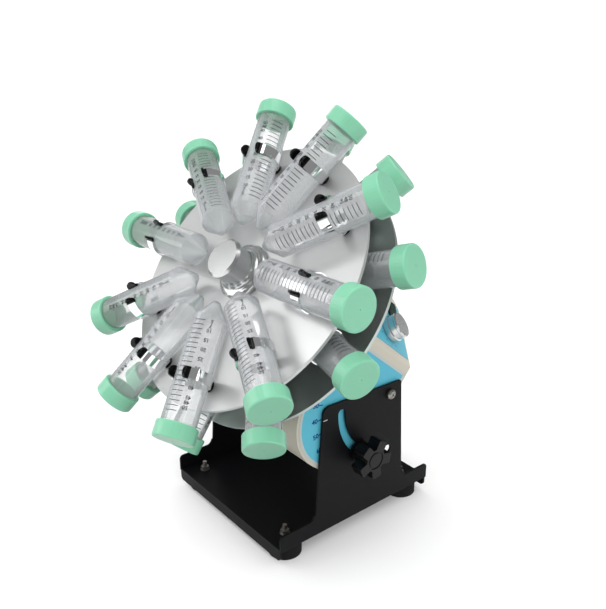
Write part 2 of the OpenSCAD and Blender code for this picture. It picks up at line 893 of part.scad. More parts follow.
// Places ten children round the axis, local X pointing outwards
module ring(phase) {
  for (i = [0:tubes - 1]) rotate([0, 0, phase - i*360/tubes]) children();
}

module disc(phase) {
  difference() {
    translate([0, 0, -disc_t]) cylinder(r = disc_r, h = disc_t);
    translate([0, 0, -disc_t - 1]) cylinder(r = spindle_r + 0.02, h = disc_t + 2);
    ring(phase) translate([clip_at, 0, -disc_t - 1]) cylinder(r = rivet_r, h = disc_t + 2);
  }
}

module rear_disc() {
  color(zinc) rotor() translate([0, 0, rear_disc_n]) difference() {
    disc(rear_phase);
    translate([0, 0, -disc_t - 1]) hub_screw_points() cylinder(r = 2, h = disc_t + 2);
  }
}

module front_disc() {
  color([0.9, 0.9, 0.9]) rotor() translate([0, 0, front_disc_n]) disc(front_phase);
}

module hub_knob() {
  foot = [hub_body_r + hub_fillet, 5.6];
  color(steel) rotor() translate([0, 0, front_disc_n]) difference() {
    rotate_extrude() difference() {
      polygon([
        [0, run], [hub_flange_r - 1, run], [hub_flange_r, run + 1], [hub_flange_r, 3.6],
        [hub_flange_r - 1.2, 4.8], foot, foot + [0, hub_fillet], [hub_body_r, foot[1] + hub_fillet],
        [hub_body_r, hub_h - 6.2], [hub_rim_r, hub_h - 5], [hub_rim_r, hub_h - 2.4],
        [hub_rim_r - 2.2, hub_h], [0, hub_h]
      ]);
      translate(foot + [0, hub_fillet]) circle(r = hub_fillet);
    }
    cylinder(r = spindle_r + fit, h = spindle_end - front_disc_n + 1);
  }
}

// Tubes and clips
// Tube frame: local Z outwards along the tube, local -X away from the disc
module tube_ring(disc_n, phase) {
  rotor() translate([0, 0, disc_n]) ring(phase) translate([0, 0, tube_lift]) rotate([0, 90, 0]) children();
}

module tube() {
  in_r = tube_r - tube_wall;
  rotate_extrude() polygon([
    [0, tube_tip], [tip_r, tube_tip], [tube_r, tube_tip + cone_l], [tube_r, tube_end], [in_r, tube_end],
    [in_r, tube_tip + cone_l + 0.6], [tip_r - 0.6, tube_tip + tube_wall + 0.3], [0, tube_tip + tube_wall + 0.3]
  ]);
}

module cap() {
  in_r = tube_r + 0.05;
  rotate_extrude() polygon([
    [in_r, cap_skirt], [cap_r - 0.4, cap_skirt], [cap_r, cap_skirt + 0.4], [cap_r, cap_out - 1],
    [cap_r - 1, cap_out], [1.2, cap_out], [0.8, cap_out - 0.5], [0, cap_out - 0.5],
    [0, cap_out - cap_top], [in_r, cap_out - cap_top]
  ]);
}

// Lip that turns away from the tube at one end of the clip, wall thickness t, grown by g
module lip(t, g) {
  w = clip_w + 2*g;
  mid = clip_in + clip_t/2;
  translate([-mid*cos(clip_open), mid*sin(clip_open), clip_at]) rotate([0, 0, 180 - lip_lean]) {
    rotate([90, 0, 0]) linear_extrude(t, center = true) intersection() {
      translate([-0.3, -w/2]) square([lip_l + g + 0.3, w]);
      union() {
        translate([-0.3, -w/2]) square([lip_l - clip_w/2 + 0.3, w]);
        translate([lip_l - clip_w/2, 0]) circle(d = w);
      }
    }
  }
}

// Band of the clip between two angles from the opening, on both sides of it
module band(r_in, r_out, w, from, to) {
  mid = (from + to)/2;
  translate([0, 0, clip_at - w/2]) linear_extrude(w) intersection() {
    difference() {
      circle(r = r_out);
      circle(r = r_in);
    }
    union() {
      for (side = [-1, 1]) polygon([
        [0, 0], [-far*cos(from), side*far*sin(from)], [-far*cos(mid), side*far*sin(mid)],
        [-far*cos(to), side*far*sin(to)]
      ]);
    }
  }
}

module clip() {
  difference() {
    union() {
      band(clip_in, clip_out, clip_w, clip_open, 100);
      band(clip_in, clip_out, clip_w, 90, 180);
      lip(clip_t, 0);
      mirror([0, 1, 0]) lip(clip_t, 0);
    }
    translate([0, 0, clip_at]) along_x(0, rivet_r, far);
  }
}

module sleeve() {
  difference() {
    union() {
      lip(clip_t + 2*sleeve_t, sleeve_rim);
      band(clip_in - sleeve_t, clip_out + sleeve_t, clip_w + 2*sleeve_rim, clip_open, clip_open + sleeve_turn);
      mirror([0, 1, 0]) lip(clip_t + 2*sleeve_t, sleeve_rim);
    }
    clip();
    cylinder(r = clip_in - sleeve_t, h = far);
  }
}

module seat() {
  difference() {
    translate([0, 0, clip_at]) along_x(clip_out - 1, seat_r, tube_lift - clip_out + 1);
    cylinder(r = clip_out, h = far);
    translate([0, 0, clip_at]) along_x(0, rivet_r, far);
  }
}

module rivet() {
  shank = clip_in - rivet_head_t/2;
  intersection() {
    translate([0, 0, clip_at]) along_x(clip_in - rivet_head_t, rivet_head_r, rivet_head_t);
    cylinder(r = clip_in, h = far);
  }
  translate([0, 0, clip_at]) along_x(shank, rivet_r - 0.02, tube_lift + disc_t - shank);
}

module front_tubes() {
  color(clear) tube_ring(front_disc_n, front_phase) tube();
}

module rear_tubes() {
  color(clear) tube_ring(rear_disc_n, rear_phase) tube();
}

module front_caps() {
  color(green) tube_ring(front_disc_n, front_phase) cap();
}

module rear_caps() {
  color(green) tube_ring(rear_disc_n, rear_phase) cap();
}

module front_clips() {
  color(steel) tube_ring(front_disc_n, front_phase) clip();
}

module rear_clips() {
  color(steel) tube_ring(rear_disc_n, rear_phase) clip();
}

module front_sleeves() {
  color(black) tube_ring(front_disc_n, front_phase) sleeve();
}

module rear_sleeves() {
  color(black) tube_ring(rear_disc_n, rear_phase) sleeve();
}

module front_seats() {
  color(black) tube_ring(front_disc_n, front_phase) seat();
}

module rear_seats() {
  color(black) tube_ring(rear_disc_n, rear_phase) seat();
}

module front_rivets() {
  color(steel) tube_ring(front_disc_n, front_phase) rivet();
}

module rear_rivets() {
  color(steel) tube_ring(rear_disc_n, rear_phase) rivet();
}

base_plate();
right_side_plate();
left_side_plate();
rubber_feet();
foot_screws();
foot_washers();
foot_nuts();
pivot_bushes();
housing_shell();
rear_cover();
cover_screws();
right_side_label();
left_side_label();
control_label();
pivot_screws();
lock_stud();
lock_washer();
lock_knob();
potentiometer();
pot_nut();
pot_shaft();
speed_knob();
switch_body();
switch_rocker();
dc_inlet();
board_standoffs();
circuit_board();
board_screws();
board_parts();
motor();
gearbox();
motor_plate();
motor_posts();
motor_screws();
bearing_block();
bearing_screws();
front_bearing();
rear_bearing();
gearbox_shaft();
coupling();
spindle();
rear_hub();
hub_screws();
disc_spacer();
rear_disc();
front_disc();
hub_knob();
front_tubes();
rear_tubes();
front_caps();
rear_caps();
front_clips();
rear_clips();
front_sleeves();
rear_sleeves();
front_seats();
rear_seats();
front_rivets();
rear_rivets();
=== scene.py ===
import json
import math

import bmesh
import bpy
from mathutils import Matrix, Vector

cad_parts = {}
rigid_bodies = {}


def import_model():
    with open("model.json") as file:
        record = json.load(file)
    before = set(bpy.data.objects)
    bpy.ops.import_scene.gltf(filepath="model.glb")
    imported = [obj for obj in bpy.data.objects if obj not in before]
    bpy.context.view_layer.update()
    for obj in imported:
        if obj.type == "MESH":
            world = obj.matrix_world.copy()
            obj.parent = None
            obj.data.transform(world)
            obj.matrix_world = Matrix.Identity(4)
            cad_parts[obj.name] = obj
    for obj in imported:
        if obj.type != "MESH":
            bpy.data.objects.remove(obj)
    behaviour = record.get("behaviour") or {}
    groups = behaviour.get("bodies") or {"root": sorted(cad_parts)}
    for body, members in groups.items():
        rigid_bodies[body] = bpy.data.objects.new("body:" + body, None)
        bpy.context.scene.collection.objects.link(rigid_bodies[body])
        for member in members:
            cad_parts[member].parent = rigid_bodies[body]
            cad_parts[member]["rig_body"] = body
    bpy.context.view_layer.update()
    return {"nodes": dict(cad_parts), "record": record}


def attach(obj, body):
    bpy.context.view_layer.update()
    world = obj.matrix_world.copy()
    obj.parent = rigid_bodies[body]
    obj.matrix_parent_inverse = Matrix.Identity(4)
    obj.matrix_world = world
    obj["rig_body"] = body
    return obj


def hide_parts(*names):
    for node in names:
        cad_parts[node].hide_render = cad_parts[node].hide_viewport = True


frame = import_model()

MM = 0.001

# Head: tilted about the pivot, with the edges of its housing measured from the pivot before the tilt
TILT = math.radians(40)
PIVOT = Vector((0, 34, 127.8)) * MM
HEAD_HALF_WIDTH = 79 * MM
SHOULDER_HEIGHT = 31 * MM
SHOULDER_SLOPE = math.radians(45)
HEAD_FRONT, HEAD_REAR = -89 * MM, 13 * MM
HEAD_LOW = -88.5 * MM
NOSE_R = 51 * MM

# Rotor: its axis above the pivot, the front faces of the discs along it,
# and the direction of each first tube in degrees from +X
AXIS_HEIGHT = 25 * MM
REAR_DISC_FRONT = 104.5 * MM
FRONT_DISC_FRONT = 147 * MM
REAR_PHASE = 95
FRONT_PHASE = 110

# Tubes and caps: IN and OUT are distances from the rotor's axis, TUBE_LIFT goes from disc to tube axis
TUBES = 10
TUBE_STEP = 360 / TUBES
TUBE_LIFT = 19.5 * MM
TUBE_R = 14.5 * MM
TUBE_IN = 37 * MM
TUBE_OUT = 141 * MM
CONE_L = 15 * MM
TIP_R = 3 * MM
TUBE_SIDES = 96
GLOSS_LIFT = 0.02 * MM
CAP_R = 17.25 * MM
CAP_OUT = 154 * MM
CAP_L = 13 * MM
CAP_TOP_WALL = 1.7 * MM
CAP_CLEARANCE = 0.1 * MM
GRIP_DEPTH = 0.12 * MM
GRIP_RIBS = 40
# Outside of a cap near its open end: inset, and height above the edge, in mm
CAP_FOOT = [(0.5, 0), (0.1, 0.4), (0, 1.0), (0, 1.3)]
# Outside of a cap near its top: inset, and depth below the top, in mm
CAP_SHOULDER = [(0, 1.5), (0.15, 0.8), (0.6, 0.2), (1.1, 0), (3, 0)]
# Moulding mark in the middle of the top: radius and depth, in mm
CAP_GATE = [(1.0, 0), (0.7, 0.4)]

# Printing on the tubes: MARKS_FROM goes from the rotor's axis, angles in degrees from the marks' middle
INK_LIFT = 0.05 * MM
# Degrees of tube that one flat of ink covers at most
INK_STEP = 6
MARKS = 20
MARKS_FROM = 58 * MM
MARK_PITCH = 3.95 * MM
MARK_HALF_LINE = 0.28 * MM
MARK_HALF_ANGLE = 20
# Numbers beside the marks, which count from 0 at the tip end
NUMBERS = {
    0: "5", 1: "7", 2: "10", 4: "15", 6: "20", 8: "25", 10: "30",
    12: "35", 14: "40", 16: "45", 17: "48", 18: "50",
}
NUMBER_ANGLE = 42
NUMBER_SIZE = 4.4 * MM
NUMBER_BOLD = 0.1 * MM
# Pale area to write on
PATCH_FROM, PATCH_TO = 130, 230
PATCH_LOW = MARKS_FROM + 6 * MM
PATCH_HIGH = MARKS_FROM + 66 * MM
# Middle of each tube's marks, in degrees from the side away from the disc, as the tubes happen to sit
FRONT_TURNS = [-62, -32, -53, -6, -6, 12, -35, -24, -60, -39]
REAR_TURNS = [20, -60, 15, 40, -30, 70, -10, 120, 60, 0]

# Films on the sides of the head, a margin inside the edges of the housing, and the height of their printing
FILM_T = 0.4 * MM
PRINT_LIFT = FILM_T + 0.05 * MM
FILM_TOP = 23 * MM
FILM_MARGIN = 2.5 * MM
# Flats round the nose of a border
NOSE_STEPS = 24
# Light border round the films: how far it goes inside and outside their edge
BORDER_IN = 2.3 * MM
BORDER_OUT = 0.3 * MM
# Tilt scale on the right film, round the pivot
SCALE_LIFT = FILM_T + 0.07 * MM
SCALE_R = 79.5 * MM
SCALE_TICK_L, SCALE_TICK_T = 4.4 * MM, 0.9 * MM
SCALE_NUMBER_GAP = 5.5 * MM
SCALE_NUMBER_SIZE, SCALE_NUMBER_BOLD = 6.2 * MM, 0.22 * MM
# White mark on the right plate
STAND_X = 83 * MM
INDEX_Y = -44.6 * MM
INDEX_L, INDEX_T = 4.6 * MM, 0.7 * MM
INDEX_LIFT = 0.04 * MM
# Dial round the speed knob: its middle ahead of the pivot and up the shoulder, its radii and marks in degrees
DIAL_AHEAD, DIAL_UP = 17.4 * MM, 26 * MM
DIAL_IN, DIAL_OUT = 14.4 * MM, 16.6 * MM
DIAL_HALF_LINE = 0.3 * MM
DIAL_MARKS, DIAL_FROM, DIAL_STEP = 11, 240, 30

# Clear plastic: how much it hides face on and at its edges, its gloss, and how many layers a ray may cross
TUBE_CLEAR = 0.09
TUBE_EDGE = 0.42
EDGE_BLEND = 0.3
GLOSS_IOR = 1.4
CLEAR_LAYERS = 40

# Noise in surfaces: depth of the grain, and the range that the noise mostly keeps to
GRAIN_DEPTH = 0.2 * MM
NOISE_LOW, NOISE_HIGH = 0.35, 0.65

# Camera, at the photograph's viewing angle
CAMERA_SPOT = (0.5146, -0.4199, 0.4585)
CAMERA_YAW = math.radians(50.7)
CAMERA_PITCH = math.radians(-21.5)
CAMERA_LENS = 46.29
CAMERA_SENSOR = 36

# Studio, in metres; the sky's light fades between two heights of its direction
FLOOR_HALF = 6.0
SKY_LIGHT = 1.2
UNDER_LIGHT = 0.45
FADE_LOW, FADE_HIGH = -0.25, -0.12
# Lights by name, place, size and power in watts
LIGHTS = [
    ("key", (-0.7, -0.8, 1.2), 1.2, 7),
    ("fill", (1.5, -0.5, 0.9), 0.8, 8),
]
LIGHT_AIM = Vector((0, 0, 0.2))
# Room and soft boxes that metal and gloss mirror
ROOM_R = 4
ROOM_RINGS, ROOM_SIDES = 16, 32
ROOM_LIGHT = 0.25
BOX_AWAY = 3
BOX_STEP = 0.1
# Soft boxes: direction from the object, width, height, brightness; each is a step nearer than the one before
SOFT_BOXES = [
    ((-0.80, -0.36, 0.48), 2.2, 2.0, 0.36),
    ((-0.635, -0.672, 0.41), 1.5, 2.0, 2.8),
    ((0.10, -0.20, 1.0), 1.6, 1.6, 2.2),
    ((0.95, 0.10, 0.30), 0.5, 2.4, 1.8),
    ((-0.90, 0.45, 0.25), 0.9, 2.4, 1.6),
    ((0.30, -0.95, 0.10), 0.4, 2.0, 1.6),
    ((-0.64, 0.66, 0.39), 1.2, 1.6, 0.02),
]

# Looks by material slot, nodes that differ from their slot, and widths of softened edges
SLOTS = {row["node"]: row["material_slot"] for row in frame["record"]["subparts"]}
SLOT_LOOK = {
    "black_steel": "coat", "black_rubber": "rubber", "bright_steel": "zinc", "black_plastic": "black",
    "housing_paint": "housing", "blue_film": "film", "knob_metal": "turned", "green_rocker": "rocker",
    "drive_metal": "dull_and_shaded", "board_green": "board", "rear_disc_metal": "rear_disc",
    "front_disc_paint": "front_disc", "clip_chrome": "chrome", "sleeve_black": "sleeve",
    "tube_clear": "tube", "cap_green": "cap",
}
# The foot nuts, screws and washers have a dull tone of their own; on them and on the pivot screws the darker
# steel is also painted shade for the dark surroundings they mirror
NODE_LOOK = {
    "foot_nuts": "dull_and_shaded", "foot_screws": "dull_and_shaded", "foot_washers": "dull_and_shaded", "pivot_screws": "dull_and_shaded",
    "lock_washer": "black",
}
BEVELS = {
    "base_plate": 0.8 * MM, "right_side_plate": 0.4 * MM, "left_side_plate": 0.4 * MM,
    "housing_shell": 0.9 * MM, "rear_cover": 0.3 * MM, "front_disc": 0.35 * MM, "rear_disc": 0.35 * MM,
    "lock_knob": 0.6 * MM, "front_clips": 0.12 * MM, "rear_clips": 0.12 * MM, "front_sleeves": 0.25 * MM,
    "rear_sleeves": 0.25 * MM, "switch_body": 0.4 * MM, "switch_rocker": 0.4 * MM,
}
# Clean-up of the CAD meshes: points closer than WELD become one, so do faces that meet flatter than
# FLAT_ANGLE, and edges sharper than BEVEL_ANGLE are softened
WELD = 1e-6
FLAT_ANGLE = math.radians(0.5)
BEVEL_ANGLE = math.radians(40)
# Angles in degrees above which edges stay sharp
CAD_SHARP, CAP_SHARP, PRINT_SHARP = 30, 28, 35

HEAD = Matrix.Translation(PIVOT) @ Matrix.Rotation(-TILT, 4, "X")
ROTOR = HEAD @ Matrix.Translation((0, 0, AXIS_HEIGHT)) @ Matrix.Rotation(math.pi / 2, 4, "X")
SHOULDER_EDGE = Matrix.Translation((HEAD_HALF_WIDTH, 0, SHOULDER_HEIGHT))
SHOULDER = HEAD @ SHOULDER_EDGE @ Matrix.Rotation(SHOULDER_SLOPE, 4, "Y")


def add_camera():
    level = math.cos(CAMERA_PITCH)
    forward = Vector((-math.sin(CAMERA_YAW) * level, math.cos(CAMERA_YAW) * level, math.sin(CAMERA_PITCH)))
    right = Vector((math.cos(CAMERA_YAW), math.sin(CAMERA_YAW), 0))
    up = right.cross(forward)
    data = bpy.data.cameras.new("camera")
    data.sensor_fit = "HORIZONTAL"
    data.sensor_width = CAMERA_SENSOR
    data.lens = CAMERA_LENS
    camera = bpy.data.objects.new("camera", data)
    turn = Matrix((right, up, -forward)).transposed().to_4x4()
    camera.matrix_world = Matrix.Translation(CAMERA_SPOT) @ turn
    bpy.context.scene.collection.objects.link(camera)
    bpy.context.scene.camera = camera


# Materials
def shader(name, colour, rough, **sockets):
    """A Principled material; sockets are given with underscores for spaces."""
    material = bpy.data.materials.new(name)
    material.use_nodes = True
    node = material.node_tree.nodes["Principled BSDF"]
    node.inputs["Base Color"].default_value = (*colour, 1)
    node.inputs["Roughness"].default_value = rough
    for key, value in sockets.items():
        node.inputs[key.replace("_", " ")].default_value = value
    return material


def add_noise(tree, scale, detail):
    """Noise that stays with the piece; gives back its strength socket."""
    coords = tree.nodes.new("ShaderNodeTexCoord")
    noise = tree.nodes.new("ShaderNodeTexNoise")
    noise.inputs["Scale"].default_value = scale
    noise.inputs["Detail"].default_value = detail
    tree.links.new(coords.outputs["Object"], noise.inputs["Vector"])
    return noise.outputs["Fac"]


def grain(material, scale, strength):
    """Fine noise in the surface of a moulded, coated or cast piece."""
    tree = material.node_tree
    bump = tree.nodes.new("ShaderNodeBump")
    bump.inputs["Strength"].default_value = strength
    bump.inputs["Distance"].default_value = GRAIN_DEPTH
    tree.links.new(add_noise(tree, scale, detail=3), bump.inputs["Height"])
    tree.links.new(bump.outputs["Normal"], tree.nodes["Principled BSDF"].inputs["Normal"])
    return material


def mottle(material, scale, low, high):
    """Slow change of roughness over a handled or rolled surface."""
    tree = material.node_tree
    span = tree.nodes.new("ShaderNodeMapRange")
    span.inputs["From Min"].default_value = NOISE_LOW
    span.inputs["From Max"].default_value = NOISE_HIGH
    span.inputs["To Min"].default_value = low
    span.inputs["To Max"].default_value = high
    tree.links.new(add_noise(tree, scale, detail=5), span.inputs["Value"])
    tree.links.new(span.outputs["Result"], tree.nodes["Principled BSDF"].inputs["Roughness"])
    return material


def clear_plastic(material):
    """Thin walls that are clearer face on than at their edges."""
    tree = material.node_tree
    edge = tree.nodes.new("ShaderNodeLayerWeight")
    edge.inputs["Blend"].default_value = EDGE_BLEND
    span = tree.nodes.new("ShaderNodeMapRange")
    span.inputs["To Min"].default_value = TUBE_CLEAR
    span.inputs["To Max"].default_value = TUBE_EDGE
    tree.links.new(edge.outputs["Facing"], span.inputs["Value"])
    tree.links.new(span.outputs["Result"], tree.nodes["Principled BSDF"].inputs["Alpha"])
    return material


def glossy_skin(material):
    """Only the gloss of a clear surface: it shows as much as a plastic reflects at each angle."""
    tree = material.node_tree
    fresnel = tree.nodes.new("ShaderNodeFresnel")
    fresnel.inputs["IOR"].default_value = GLOSS_IOR
    tree.links.new(fresnel.outputs["Fac"], tree.nodes["Principled BSDF"].inputs["Alpha"])
    return material


def make_materials():
    """All materials by look: colour, roughness and what else they need."""
    coat = shader("powder_coat", (0.0034, 0.0036, 0.0044), 0.46, Specular_IOR_Level=0.1)
    rubber = shader("rubber", (0.006, 0.006, 0.006), 0.75, Specular_IOR_Level=0.2)
    black = shader("black_plastic", (0.003, 0.003, 0.0034), 0.34, Specular_IOR_Level=0.2)
    housing = shader("housing_paint", (0.51, 0.485, 0.41), 0.5, Specular_IOR_Level=0.3)
    turned = shader("turned_metal", (0.60, 0.61, 0.61), 0.22, Metallic=1.0)
    rear_disc = shader("satin_disc", (0.50, 0.56, 0.53), 0.38, Metallic=1.0)
    front_disc = shader("white_disc", (0.56, 0.565, 0.565), 0.29, Metallic=0.5)
    cap = shader("cap_green", (0.21, 0.52, 0.355), 0.32, Subsurface_Weight=0.7,
                 Subsurface_Radius=(0.5, 1.0, 0.7), Subsurface_Scale=4 * MM)
    return {
        "coat": grain(coat, scale=2600, strength=0.25),
        "rubber": grain(rubber, scale=900, strength=0.3),
        "zinc": shader("zinc_plate", (0.50, 0.51, 0.52), 0.2, Metallic=1.0),
        # Darker metal: a dull finish, and painted shade where it stands in for bright steel screws, nuts and
        # washers
        "dull_and_shaded": shader("dull_and_shaded_metal", (0.30, 0.29, 0.27), 0.38, Metallic=1.0),
        "black": grain(black, scale=1500, strength=0.15),
        "housing": grain(housing, scale=2200, strength=0.15),
        "film": shader("blue_film", (0.085, 0.40, 0.52), 0.35, Specular_IOR_Level=0.3),
        "border": shader("film_border", (0.42, 0.45, 0.43), 0.4),
        "ink": shader("blue_ink", (0.003, 0.035, 0.17), 0.45, Specular_IOR_Level=0.2),
        "white": shader("white_paint", (0.55, 0.55, 0.54), 0.5),
        "turned": mottle(turned, scale=60, low=0.21, high=0.24),
        "rocker": shader("rocker_green", (0.004, 0.03, 0.02), 0.2, Specular_IOR_Level=0.3),
        "board": shader("board", (0.02, 0.15, 0.06), 0.4),
        "rear_disc": mottle(rear_disc, scale=12, low=0.35, high=0.44),
        "front_disc": mottle(front_disc, scale=12, low=0.28, high=0.31),
        "chrome": shader("chrome", (0.88, 0.89, 0.90), 0.04, Metallic=1.0),
        "sleeve": shader("sleeve", (0.002, 0.002, 0.002), 0.12, Specular_IOR_Level=0.3),
        "tube": clear_plastic(shader("tube", (0.86, 0.88, 0.90), 0.3)),
        "gloss": glossy_skin(shader("tube_gloss", (1, 1, 1), 0.12, Metallic=1.0)),
        "tick": shader("tube_ink", (0.02, 0.024, 0.03), 0.5),
        "patch": shader("writing_patch", (0.80, 0.82, 0.83), 0.5, Alpha=0.10),
        "cap": grain(cap, scale=1800, strength=0.12),
    }


# Meshes
def add_mesh(name, verts, faces, material, body, place=Matrix.Identity(4), slot=None, sharp=PRINT_SHARP):
    """A new piece that rides with a body; its points are given in the frame of place."""
    mesh = bpy.data.meshes.new(name)
    mesh.from_pydata([place @ Vector(v) for v in verts], [], faces)
    mesh.materials.append(material)
    finish_mesh(mesh, sharp)
    return place_piece(name, mesh, body)


def finish_mesh(mesh, sharp):
    """Smooth shading with edges kept sharp above an angle in degrees."""
    mesh.validate()
    mesh.shade_smooth()
    mesh.set_sharp_from_angle(angle=math.radians(sharp))


def place_piece(name, mesh, body):
    """Put a mesh in the scene as a piece of a body."""
    piece = bpy.data.objects.new(name, mesh)
    bpy.context.scene.collection.objects.link(piece)
    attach(piece, body)
    return piece


def dress(node, material, bevel):
    """A smooth copy of a CAD node with its own material and, where asked, softened edges."""
    mesh = frame["nodes"][node].data.copy()
    mesh.name = node + "_shape"
    work = bmesh.new()
    work.from_mesh(mesh)
    bmesh.ops.remove_doubles(work, verts=work.verts, dist=WELD)
    bmesh.ops.dissolve_limit(work, angle_limit=FLAT_ANGLE, verts=work.verts, edges=work.edges)
    work.to_mesh(mesh)
    work.free()
    if "custom_normal" in mesh.attributes:
        mesh.attributes.remove(mesh.attributes["custom_normal"])
    mesh.materials.clear()
    mesh.materials.append(material)
    finish_mesh(mesh, CAD_SHARP)
    body = frame["nodes"][node]["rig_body"]
    piece = place_piece(node + "_look", mesh, body)
    if bevel:
        edge = piece.modifiers.new("edges", "BEVEL")
        edge.width = bevel
        edge.segments = 2
        edge.limit_method = "ANGLE"
        edge.angle_limit = BEVEL_ANGLE
        edge.harden_normals = True
    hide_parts(node)


def lathe(profile, sides, rib=0.0, ribs=0, ribbed=()):
    """Vertices and faces of profile turned about Z; the profile points in ribbed get ribs cut into them."""
    verts, faces = [], []
    for i in range(sides):
        a = 2 * math.pi * i / sides
        dent = rib * (0.5 - 0.5 * math.cos(ribs * a)) if ribs else 0
        for j, (r, z) in enumerate(profile):
            radius = r - dent if j in ribbed else r
            verts.append((radius * math.cos(a), radius * math.sin(a), z))
    count = len(profile)
    for i in range(sides):
        k = (i + 1) % sides
        for j in range(count - 1):
            faces.append((i * count + j, k * count + j, k * count + j + 1, i * count + j + 1))
    faces.append([i * count for i in reversed(range(sides))])
    faces.append([i * count + count - 1 for i in range(sides)])
    return verts, faces


def join(parts):
    """One vertex and face list from several, each with its place."""
    verts, faces = [], []
    for part_verts, part_faces, place in parts:
        start = len(verts)
        verts += [place @ Vector(v) for v in part_verts]
        faces += [[start + i for i in face] for face in part_faces]
    return verts, faces


def tube_places(disc_front, phase):
    """Tube frames: Z outwards along the tube, -X away from the disc."""
    for i in range(TUBES):
        turn = Matrix.Rotation(math.radians(phase - TUBE_STEP * i), 4, "Z")
        lift = Matrix.Translation((0, 0, disc_front + TUBE_LIFT))
        yield ROTOR @ lift @ turn @ Matrix.Rotation(math.pi / 2, 4, "Y")


# Tubes and caps
def add_caps(name, disc_front, phase, node):
    """Hollow caps with a fine grip round the skirt."""
    skirt = CAP_OUT - CAP_L
    inner = TUBE_R + CAP_CLEARANCE
    profile = [(inner, CAP_OUT - CAP_TOP_WALL), (inner, skirt)]
    profile += [(CAP_R - inset * MM, skirt + height * MM) for inset, height in CAP_FOOT]
    grip_low = len(profile) - 1
    profile += [(CAP_R - inset * MM, CAP_OUT - depth * MM) for inset, depth in CAP_SHOULDER]
    profile += [(radius * MM, CAP_OUT - depth * MM) for radius, depth in CAP_GATE]
    one = lathe(profile, 4 * GRIP_RIBS, GRIP_DEPTH, GRIP_RIBS, (grip_low, grip_low + 1))
    verts, faces = join([(*one, place) for place in tube_places(disc_front, phase)])
    piece = add_mesh(name, verts, faces, MATERIALS["cap"], "rotor", slot="cap_green", sharp=CAP_SHARP)
    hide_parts(node)


def add_gloss(name, disc_front, phase):
    """Open skin over each tube up to its cap."""
    outline = [
        (TIP_R, TUBE_IN - GLOSS_LIFT),
        (TUBE_R + GLOSS_LIFT, TUBE_IN + CONE_L),
        (TUBE_R + GLOSS_LIFT, TUBE_OUT),
    ]
    verts, faces = lathe(outline, TUBE_SIDES)
    open_faces = faces[:-1]
    skins = join([(verts, open_faces, place) for place in tube_places(disc_front, phase)])
    add_mesh(name, *skins, MATERIALS["gloss"], "rotor", slot="tube_clear")


# Printing on the tubes
def patch(radius, start, end, low, high):
    """A printed area on a cylinder about Z between two angles in degrees from -X towards +Y."""
    count = math.ceil((end - start) / INK_STEP)
    verts, faces = [], []
    for i in range(count + 1):
        a = math.radians(start + (end - start) * i / count)
        for z in (low, high):
            verts.append((-radius * math.cos(a), radius * math.sin(a), z))
    for i in range(count):
        faces.append((2 * i, 2 * i + 2, 2 * i + 3, 2 * i + 1))
    return verts, faces


def glyphs(text, size, bold):
    """Flat vertices and faces of a number, centred; bold widens its strokes."""
    curve = bpy.data.curves.new("number", "FONT")
    curve.body = text
    curve.size = size
    curve.offset = bold
    curve.align_x = "CENTER"
    curve.align_y = "CENTER"
    curve.resolution_u = 2
    holder = bpy.data.objects.new("number", curve)
    bpy.context.scene.collection.objects.link(holder)
    bpy.context.view_layer.update()
    mesh = holder.to_mesh()
    verts = [tuple(v.co) for v in mesh.vertices]
    faces = [tuple(p.vertices) for p in mesh.polygons]
    holder.to_mesh_clear()
    bpy.data.objects.remove(holder)
    bpy.data.curves.remove(curve)
    return verts, faces


def wrapped(shape, radius, angle, z):
    """A flat shape laid round a tube at an angle and height."""
    verts, faces = shape
    laid = []
    for x, y, _ in verts:
        a = math.radians(angle) - x / radius
        laid.append((-radius * math.cos(a), radius * math.sin(a), z + y))
    return laid, faces


def add_prints(name, disc_front, phase, turns):
    """Graduations along each tube, numbers beside some of them and a pale area to write on."""
    ink_r = TUBE_R + INK_LIFT
    numbers = {i: glyphs(text, NUMBER_SIZE, NUMBER_BOLD) for i, text in NUMBERS.items()}
    ink, white = [], []
    for place, turn in zip(tube_places(disc_front, phase), turns):
        left, right = turn - MARK_HALF_ANGLE, turn + MARK_HALF_ANGLE
        for i in range(MARKS):
            z = MARKS_FROM + MARK_PITCH * i
            ink.append((*patch(ink_r, left, right, z - MARK_HALF_LINE, z + MARK_HALF_LINE), place))
            if i in numbers:
                ink.append((*wrapped(numbers[i], ink_r, turn + NUMBER_ANGLE, z), place))
        area = patch(ink_r, turn + PATCH_FROM, turn + PATCH_TO, PATCH_LOW, PATCH_HIGH)
        white.append((*area, place))
    add_mesh(name + "_marks", *join(ink), MATERIALS["tick"], "rotor", slot="tube_clear")
    add_mesh(name + "_patches", *join(white), MATERIALS["patch"], "rotor", slot="tube_clear")


# Printing on the head and the stand
def side_outline(inset):
    """Outline of the side film in (y, z) of the head frame, anticlockwise seen from +X."""
    keep = FILM_MARGIN + inset
    nose = NOSE_R - keep
    y0, y1 = HEAD_FRONT + keep, HEAD_REAR - keep
    z0, z1 = HEAD_LOW + keep, FILM_TOP - inset
    points = [(y1, z0), (y1, z1), (y0, z1)]
    for i in range(NOSE_STEPS + 1):
        a = math.pi + math.pi / 2 * i / NOSE_STEPS
        points.append((y0 + nose + nose * math.cos(a), z0 + nose + nose * math.sin(a)))
    return points


def add_side_print(name, side):
    """Light border round a side film; side is 1 for the right and -1 for the left."""
    x = side * (HEAD_HALF_WIDTH + PRINT_LIFT)
    outer, inner = side_outline(-BORDER_OUT), side_outline(BORDER_IN)
    count = len(outer)
    verts = [(x, y, z) for y, z in outer + inner]
    faces = []
    for i in range(count):
        k = (i + 1) % count
        face = (i, k, count + k, count + i)
        faces.append(face if side > 0 else face[::-1])
    add_mesh(name + "_border", verts, faces, MATERIALS["border"], "head", HEAD, "blue_film")


